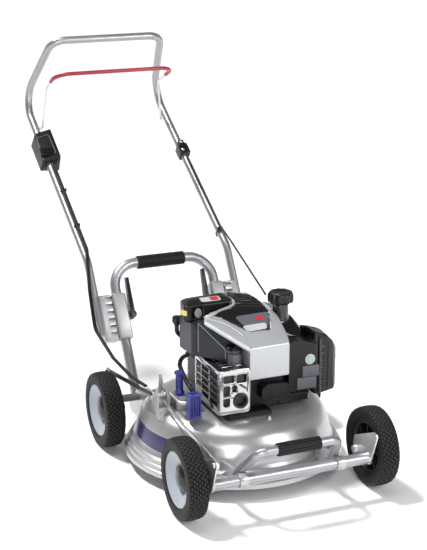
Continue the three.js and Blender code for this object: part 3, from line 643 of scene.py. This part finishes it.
put("handlebar_tube", [
    tube(BAR, BAR_R, [90, 70, 45, 45, 70, 90], 14, 32), *[bar_plug(s) for _, s in SIDES],
], TUBE, "bar", ("handlebar",))
for side, _ in SIDES:
    bevelled(f"handle_clamp_{side}", CAST, "chassis", 1.4)
    bevelled(f"handle_shoe_{side}", CAST, "bar", 1.2)
    bevelled(f"cam_lever_{side}", BLACK, f"cam_{side}", 1.6)

# -------------------------------------------------------- cutting-height lever
bevelled("height_bracket", CAST, "chassis", 1.2)
bevelled("height_lever", ZINC, "lever", 0.8)
bevelled("front_link", ZINC, "front_rod", 1.0)
bevelled("rear_link", DARK, "rear_rod", 1.0)
put("height_handle", [
    brick(-173.4, -140.6, 153, 177.4, 175.4, 238.6, 5, 4),
    *[brick(-172.6 + 6.5 * k, -168.6 + 6.5 * k, 150.2, 160, 181, 233, 1.8, 3) for k in range(5)],
    brick(-174, -140, 152, 178, 175, 180.5, 2.4, 3),
], BLUE, "lever", ("height_grip",))
put("height_knob", [
    lathe(soft_corners([
        (0, 189), (4, 189), (4, 206), (13, 206), (13, 212.6), (9.6, 215.4), (7.6, 224), (7.2, 240),
        (8.4, 256), (12.6, 260.4), (12.6, 264.6), (10, 265.8), (0, 265.8),
    ], 1.5, 4), about_z(*KNOB), 40),
    *[brick(KNOB[0] + a - 1.6, KNOB[0] + a + 1.6, KNOB[1] + b - 1.6, KNOB[1] + b + 1.6, 216, 257, 1, 2)
      for a, b in ((8, 0), (-8, 0), (0, 8), (0, -8))],
], BLUE, "plunger", ("height_plunger",))

# --------------------------------------------------------------------- blade
bevelled("crankshaft", STEEL, "rotor", 0.8)
HUB = soft_corners([(12.9, 62), (30, 62), (30, 70), (20, 74), (20, 96), (12.9, 96)], 1.2, 3, True)
put("hub", [lathe(HUB, about_z(0, DECK_Y), 48)], CAST, "rotor", ("blade_hub",))
bevelled("blade", STEEL, "rotor", 0.5)
bevelled("blade_bolt", ZINC, "rotor", 0.9)

# --------------------------------------------------------------- engine helpers
# Directions in which details are laid on: from the front left, from the front, from above.
SIGHT, BACK, DOWN = (0.372, 0.883, -0.287), (0, 1, 0), (0, 0, -1)


def unplace(v):
    """Frame's metres back to layout millimetres."""
    return Vector((v.x * 1000, v.y * 1000 + CENTRE_Y, v.z * 1000 + DROP))


def on_skin(skin, q, towards, reach=70):
    """The point where a line through q meets a surface."""
    direction = Vector(towards).normalized()
    hit, _, _, _ = skin.ray_cast(place(Vector(q) - direction * reach), direction, 0.25)
    return unplace(hit) if hit else Vector(q)


def rib(skin, corners, towards, r, closed=False, step=4, soft=4, sink=0.35):
    """Round bead laid along a surface through the given corners."""
    line = [Vector(v) for v in soft_corners(corners, soft, 5, closed)]
    if closed:
        line.append(line[0])
    path = [on_skin(skin, v, towards) for v in spread_out(line, step)]
    for _ in range(2):
        path = [path[0]] + [(a + b * 2 + c) / 4 for a, b, c in zip(path, path[1:], path[2:])] + [path[-1]]
    back = Vector(towards).normalized() * (r * sink)
    return sweep([v + back for v in path], circle(r, 12))


def rounded(a0, a1, b0, b1, r, n=5):
    """Rectangle with round corners."""
    return [(v[0], v[1]) for v in soft_corners(
        [(a0, b0, 0), (a1, b0, 0), (a1, b1, 0), (a0, b1, 0)], r * 1.6, n, closed=True)]


def lobed(profile, to, lobes, depth, seg=96, onset=0.55):
    """Solid of revolution whose outer wall is scalloped."""
    widest = max(r for r, _ in profile)

    def waved(a, b, h):
        r = math.hypot(a, b)
        share = max(0, (r / widest - onset) / (1 - onset))
        k = 1 - depth * share * (0.5 - 0.5 * math.cos(lobes * math.atan2(b, a))) ** 2 / max(r, 1)
        return to(a * k, b * k, h)
    return lathe(profile, waved, seg)


# --------------------------------------------------------------------- engine
bevelled("engine_base", ENGINE, "chassis", 2.2, 4)
base_skin = skin_of("engine_base_piece")
put("engine_fins", [
    *[brick(-76, 76, 398, 411, z, z + 2.6, 1, 2) for z in range(190, 256, 8)],
    brick(-18, 18, 400, 414, 186, 258, 3, 3),
], ENGINE, "chassis")
COVER_OVAL = (16, 238), (34, 243), (74, 241), (84, 230), (82, 211), (68, 204), (30, 206)
put("base_cover_trim", [
    rib(base_skin, [(x, 128, z) for x, z in COVER_OVAL], BACK, 1.7, True, 4, 9),
    *[rib(base_skin, [(x, 128, 213), (x + 12, 128, 233)], BACK, 1.3) for x in (27, 39, 51, 63)],
], ENGINE, "chassis")
softened("cooling_shroud", SILVER, "chassis", 1.8, 12)
shroud_skin = skin_of("cooling_shroud_body")
softened("shroud_insert", BLACK, "chassis", 1.6, 5, 0.6)
insert_skin = skin_of("shroud_insert_body")
softened("battery_pack", BLACK, "battery", 1.6, 24)
battery_skin = skin_of("battery_pack_body")
softened("side_housing", GREY, "chassis", 1.8, 8)
housing_skin = skin_of("side_housing_body")
softened("fuel_tank", GLOSS, "chassis", 2.2, 24)
softened("air_cleaner", BLACK, "chassis", 2.0, 8)
softened("air_cover", BLACK, "filter_lid", 1.8, 26)
cover_skin = skin_of("air_cover_body")
top_skin = skin_of("cooling_shroud_body", "shroud_insert_body")

put("shroud_border", [
    rib(shroud_skin, [(-22, 130, 344), (-30, 160, 372), (-60, 186, 394), (-116, 196, 416)], SIGHT, 2.6,
        step=4, soft=10),
    rib(top_skin, [
        (-112, 200, 413), (-76, 200, 424), (-40, 200, 433), (-34, 200, 440), (-44, 200, 452), (-62, 200, 462),
    ], SIGHT, 4.2, step=4, soft=14, sink=0.2),
], SILVER, "chassis")
put("insert_slats", [
    rib(insert_skin, [(-26 + 5 * k, 228 + 11 * k, 426), (50, 222 + 11 * k, 426)], DOWN, 1.9, sink=0.1)
    for k in range(8)
], BLACK, "chassis")
patch("insert_panel", insert_skin, [(-42, 185, 411), (52, 185, 413), (54, 185, 374), (-16, 185, 384)],
      SIGHT, PLATE, "chassis", 0.4, 16, 12)
patch("insert_label", insert_skin, [(-27, 170, 390), (35, 170, 391), (39, 170, 376), (-14, 170, 374)],
      SIGHT, LABEL, "chassis", 0.9, 16, 8)
patch("insert_mark", insert_skin, [(16, 190, 406), (37, 190, 404), (37, 190, 391), (16, 190, 392)],
      SIGHT, CRIMSON, "chassis", 0.8, 8, 6, "disc")
patch("battery_label", battery_skin, [(-92, 268, 433), (-40, 268, 433), (-40, 292, 433), (-92, 292, 433)],
      DOWN, LABEL, "battery", 0.3, 14, 8)
patch("battery_mark", battery_skin, [(-66, 271, 433), (-44, 271, 433), (-44, 289, 433), (-66, 289, 433)],
      DOWN, CRIMSON, "battery", 0.6, 10, 8)
patch("battery_sticker", battery_skin, [
    (-142, 286, 412), (-142, 244, 420), (-142, 244, 407), (-142, 284, 399),
], SIGHT, YELLOW, "battery", 0.4, 10, 8, "plain")
LATCH_OVAL = [(a * 9.4, b * 12.4) for a, b in circle(1, 32)]
put("latch_pad", [
    panel(LATCH_OVAL, [], 6.4, 2.4, lambda a, b, h: (-107 + a, 257.2 + h, 407 + b)),
], LATCH, "latch", ("battery_latch",))

put("housing_trim_and_highlight", [
    rib(housing_skin, [(-126, 215, 396), (-52, 215, 320), (-52, 215, 288)], SIGHT, 1.4, soft=3),
    # Painted highlight: this pale bead stands for the light line down the housing's corner.
    rib(housing_skin, [(-124, 215, 395), (-124, 215, 322)], SIGHT, 1.3, soft=3),
], LATCH, "chassis")
# Painted shade: a black bead along the housing's corner stands for the dark of a groove.
put("housing_groove_shade", [
    rib(housing_skin, [(-129, 215, 398), (-129, 215, 318)], SIGHT, 3.2, soft=3, sink=0.7),
], BLACK, "chassis")
STARTER = soft_corners([(0, 284), (17.4, 284), (17.4, 324), (0, 324)], 2, 3)
STARTER_CAP = soft_corners([(0, 324), (20, 324), (20, 334), (15, 339), (0, 339)], 2.5, 4)
put("starter", [lathe(STARTER, about_z(-46, 172), 40)], PLATE, "chassis")
put("starter_cap", [lathe(STARTER_CAP, about_z(-46, 174), 40)], GLOSS, "chassis")

# -------------------------------------------------------- fuel cap, oil cap, hose
FUEL_KNOB = soft_corners([
    (0, 400.4), (14.6, 400.4), (14.6, 414.8), (30.6, 414.8), (32.8, 419), (32.8, 434), (30, 440),
    (25, 442.4), (19, 440.4), (10, 438.6), (0, 438.2),
], 2, 4)
OIL_KNOB = soft_corners([
    (0, 352.8), (8, 352.8), (8, 358), (11.8, 359.4), (11.8, 372), (9.6, 375.4), (0, 375.6),
], 1.2, 3)
HOSE = [
    (-118, 300, 293), (-118, 300, 286), (-136, 326, 266), (-134, 268, 228), (-130, 218, 208),
    (-128, 212, 172),
]
put("fuel_knob", [lobed(FUEL_KNOB, about_z(*FUEL_FILLER), 9, 4.2)], BLACK, "fuel_lid", ("fuel_cap",))
put("oil_knob", [lobed(OIL_KNOB, about_z(*OIL_FILLER), 6, 1.8, 72)], BLACK, "oil_lid", ("oil_cap",))
put("hose_tube", [tube(HOSE, 5.5, [6, 18, 30, 16])], GRIP, "chassis", ("engine_hose",))

# --------------------------------------------------------------- air cleaner details
put("cleaner_flange", [
    rib(cover_skin, [(180, 120, 192), (180, 120, 334)], BACK, 4.2, sink=0.1),
    *[rib(cover_skin, [(179, 120, z), (192, 120, z)], BACK, 2.4, sink=0) for z in range(204, 330, 18)],
], GLOSS, "filter_lid")
put("cleaner_ribs", [
    rib(cover_skin, [(184, 150, 196), (184, 150, 330)], BACK, 2.8),
    rib(cover_skin, [(206, 150, 200), (206, 150, 318)], BACK, 2.8),
    rib(cover_skin, [(184, 216, 380), (214, 216, 380)], DOWN, 1.6),
    *[rib(cover_skin, [(260, 186, z), (260, 242, z)], (-1, 0, 0), 1.5) for z in (222, 246, 270)],
], BLACK, "filter_lid")
put("grey_bracket", [
    brick(112, 164, 146, 152, 212, 242, 2, 3), brick(126, 172, 145.4, 152, 243, 272, 2, 3),
], PLATE, "chassis")


def facing_front(x, y, z):
    """Places a lathe's (a, b, height) with its height towards the front."""
    return lambda a, b, h: (x + a, y - h, z + b)


CLIP_RING = soft_corners([(0, 0), (13.6, 0), (13.6, 2.4), (10.6, 3.4), (9, 2.2), (0, 2.2)], 0.6, 3)
CLIP_FACE = soft_corners([(0, 0), (8.6, 0), (8.6, 3.2), (0, 3.2)], 0.6, 3)
put("clip_disc", [lathe(CLIP_RING, facing_front(CLIP[0], 149.5, CLIP[1]), 40)], LABEL, "chassis")
put("clip_disc_face", [lathe(CLIP_FACE, facing_front(CLIP[0], 149, CLIP[1]), 36)], MINT, "chassis")

# ----------------------------------------------------------- muffler and guard
X0, X1, Y0, Y1, Z0, Z1 = -106, -24, 126, 282, 184, 298     # the guard's box
SLOT_ROWS = (203, 220, 237, 254, 271)
SLOT_COLUMNS = (139, 190, SLOT_ROWS), (194, 240, SLOT_ROWS), (244, 270, SLOT_ROWS[1:])
SIDE_SLOTS = [rounded(y0, y1, z, z + 12, 2) for y0, y1, rows in SLOT_COLUMNS for z in rows]
FRONT_SLOTS = [
    rounded(-95, -66, 266, 284, 3), rounded(-60, -34, 262, 284, 3), rounded(-95, -78, 206, 226, 3),
    rounded(-95, -78, 232, 258, 3), rounded(-72, -60, 240, 258, 3),
    [(OUTLET[0] + 20 * a, OUTLET[1] + 20 * b) for a, b in circle(1, 40)],
]
TOP_SLOTS = [
    rounded(x0, x1, y, y + 11, 3) for x0, x1 in ((-92, -60), (-54, -34)) for y in range(142, 262, 18)
]
put("guard_cage", [
    panel(rounded(Y0, Y1, Z0, Z1, 9), SIDE_SLOTS, 3.4, 1.2, lambda a, b, h: (X0 + 1.7 + h, a, b)),
    panel(rounded(X0, X1, Z0, Z1, 8), FRONT_SLOTS, 3.4, 1.2, lambda a, b, h: (a, Y0 + 1.7 - h, b)),
    panel(rounded(X0, X1, Y0, Y1, 8), TOP_SLOTS, 3.0, 1.1, lambda a, b, h: (a, b, Z1 - 1.5 + h)),
    sweep([(X0 + 5.6, Y0 + 5.6, z) for z in (Z0 + 2, Z0 + 3, Z1 - 6, Z1 - 4)], circle(5.8, 24)),
    sweep([(X0 + 3, y, Z1 - 3) for y in (Y0 + 4, Y0 + 6, Y1 - 6, Y1 - 4)], circle(3, 20)),
    sweep([(x, Y0 + 3, Z1 - 3) for x in (X0 + 4, X0 + 6, X1 - 6, X1 - 4)], circle(3, 20)),
    lathe([(19.4, 0), (22.6, 0), (22.6, 2.6), (21, 3.4), (19.4, 2.6)],
          lambda a, b, h: (OUTLET[0] + a, Y0 + 1.5 - h * 0.4, OUTLET[1] + b), 48, True),
], CHROME, "chassis", ("muffler_guard",), 30)
put("muffler_box", [
    brick(-99, -30, 134, 272, 199, 292, 9, 5),
    *[brick(-100.4, -97, 140, 266, z, z + 5, 1.5, 2) for z in (222, 239, 256, 273)],
], SOOT, "chassis", ("muffler",))
OUTLET_PIPE = soft_corners([(13.6, 122.2), (18.8, 122.2), (18.8, 136), (13.6, 136)], 1, 3, True)
put("muffler_outlet", [
    lathe(OUTLET_PIPE, lambda a, b, h: (OUTLET[0] + a, h, OUTLET[1] + b), 48, True),
], DARK, "chassis")

# -------------------------------------------------- controls on the handlebar
softened("control_box", BLACK, "bar", 1.6, 20)
box_skin = skin_of("control_box_body")
BAR_INWARD = (0, math.sin(BAR_TILT), -math.cos(BAR_TILT))
TRIM = (-231, -100), (-228, -30), (-190, -20), (-188, -104)
put("control_trim", [
    rib(box_skin, [bar_frame((a, b, 60)) for a, b in TRIM], BAR_INWARD, 1.2, True, 4, 8),
], PLATE, "bar")
put("control_ridges", [
    brick(-232, -192, y, y + 3, 14, 27.5, 1, 2, bar_frame) for y in (-104, -96, -88, -80)
], BLACK, "bar")
bevelled("cable_bracket", BLACK, "bar", 1.2)
SCREW = soft_corners([(0, 0), (5, 0), (5, 3), (3, 4), (0, 4)], 0.6, 3)
put("bracket_screws", [
    lathe(SCREW, lambda a, b, h, y=y, z=z: bar_frame((205 + a, y + b, z + h)), 20)
    for y, z in ((-102, 28), (-126, 18))
], ZINC, "bar")

# --------------------------------------------------------------------- stop bail
BAIL_BEND, BAIL_GRIP = (1269, 811), (1150, 868)
BAIL_PATH = [Vector(v) for v in (
    (-206, *BAIL), (-189, *BAIL), (-176, *BAIL_BEND), (-184, *BAIL_GRIP),
    (184, *BAIL_GRIP), (176, *BAIL_BEND), (189, *BAIL), (206, *BAIL))]
SLEEVE_SHARE = 0.52                      # how far down the bail's sides the sleeve reaches
SLEEVE_PATH = [
    BAIL_PATH[3].lerp(BAIL_PATH[2], SLEEVE_SHARE), BAIL_PATH[3],
    BAIL_PATH[4], BAIL_PATH[4].lerp(BAIL_PATH[5], SLEEVE_SHARE),
]
put("bail_wire", [tube(BAIL_PATH, 3, [4, 14, 45, 45, 14, 4], 10, 16)], ZINC, "stop_bail", ("bail",))
put("bail_grip", [tube(SLEEVE_PATH, 5.8, 45, 12, 24)], RED, "stop_bail", ("bail_sleeve",))

# ----------------------------------------------------------------------- cables
# Clipped to the bar above and to the deck or engine below; their paths bend near the bar's bends.
LEFT = [
    (-206, 1128, 614), (-206, 826, 431), (-232, 730, 345), (-236, 676, 250), (-226, 560, 206),
    (-225.5, 420, 202), (-225.5, 312, 214),
]
LEFT_RADII = [60, 60, 50, 60, 60]
RIGHT = [(206, 1118, 609), (206, 860, 454), (150, 640, 461), (116, 346, 402)]


def cable(name, points, r, radii, nodes=(), offset=0.0):
    """One cable along a route, offset sideways."""
    path = [v + Vector((offset, 0, 0)) for v in spread_out(bent(points, radii, 12), 9)]
    ob = put(name, [sweep(path, circle(r, 14))], GRIP, None, nodes)
    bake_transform(ob)


cable("cable_left_run", LEFT, 2.9, LEFT_RADII, ("cable_left",), -2.2)
cable("cable_left_pair", LEFT, 2.3, LEFT_RADII, (), 2.9)
cable("cable_right_run", RIGHT, 2.6, [40, 60], ("cable_right",))
put("cable_ties", [
    *[brick(-214, -196, y, y + 3, -13, 22, 1, 2, bar_frame) for y in (-392, -250)],
    brick(198, 215, -466, -454, -13.5, 17, 1.5, 2, bar_frame),
], BLACK, "bar")

# ---------------------------------------------------------------- surroundings
FLOOR = material("pale_floor", (0.93, 0.93, 0.935), 0.7, 0.0, 0.01, 40, 0.02, 0.03)
bpy.ops.mesh.primitive_plane_add(size=60, location=(0, 0, -0.0004))
floor = bpy.context.object
floor.name = "floor"
floor.data.materials.append(FLOOR)

KEY_FROM, KEY_POWER, KEY_SPREAD = Vector((-1.1, 1.5, 3.4)), 3.6, math.radians(9)
SOFTBOXES = (       # name, place, target, size in metres, watts
    ("front", (-2.0, -4.8, 1.5), (0, 0, 0.3), (1.5, 1.9), 85),
    ("side", (2.1, -3.7, 2.3), (0, 0, 0.3), (1.5, 1.9), 90),
    ("top", (-0.4, -1.0, 4.0), (0, 0, 0), (1.6, 1.6), 28),
)
HORIZON, ZENITH = (-0.05, 0.5), (0.6, 0.16)      # sine of the height, brightness
CAMERA_AT, CAMERA_AIM, LENS = Vector((-1.3816, -3.5016, 1.5152)), Vector((-0.0900, -0.4323, 0.5165)), 95.05


def look(at, aim):
    """Rotation that points a lamp or a camera at something."""
    return (Vector(aim) - Vector(at)).to_track_quat("-Z", "Y").to_euler()


def linked(name, data):
    """Object of the scene from a lamp or a camera."""
    ob = bpy.data.objects.new(name, data)
    bpy.context.scene.collection.objects.link(ob)
    return ob


def key_light():
    sun = bpy.data.lights.new("key", "SUN")
    sun.energy, sun.angle = KEY_POWER, KEY_SPREAD
    linked("key", sun).rotation_euler = look(KEY_FROM, (0, 0, 0))


def softbox(name, at, aim, size, power):
    light = bpy.data.lights.new(name, "AREA")
    light.shape, light.size, light.size_y = "RECTANGLE", size[0], size[1]
    light.energy = power
    ob = linked(name, light)
    ob.location, ob.rotation_euler = at, look(at, aim)


def studio_world():
    """White surroundings, bright round the horizon and dim overhead."""
    world = bpy.data.worlds.new("studio")
    world.use_nodes = True
    nodes, links = world.node_tree.nodes, world.node_tree.links
    nodes["Background"].inputs["Color"].default_value = (1, 1, 1, 1)
    height = nodes.new("ShaderNodeSeparateXYZ")
    links.new(nodes.new("ShaderNodeTexCoord").outputs["Generated"], height.inputs["Vector"])
    fade = nodes.new("ShaderNodeMapRange")
    fade.interpolation_type = "SMOOTHSTEP"
    fade.inputs["From Min"].default_value, fade.inputs["To Min"].default_value = HORIZON
    fade.inputs["From Max"].default_value, fade.inputs["To Max"].default_value = ZENITH
    links.new(height.outputs["Z"], fade.inputs["Value"])
    links.new(fade.outputs["Result"], nodes["Background"].inputs["Strength"])
    bpy.context.scene.world = world


def photo_camera():
    """Camera fitted to the photo's view."""
    camera = bpy.data.cameras.new("camera")
    camera.sensor_width, camera.sensor_fit, camera.lens = 36, "AUTO", LENS
    ob = linked("camera", camera)
    ob.location, ob.rotation_euler = CAMERA_AT, look(CAMERA_AT, CAMERA_AIM)
    bpy.context.scene.camera = ob


key_light()
for lamp in SOFTBOXES:
    softbox(*lamp)
studio_world()
photo_camera()
bpy.context.scene.view_settings.view_transform = "Standard"
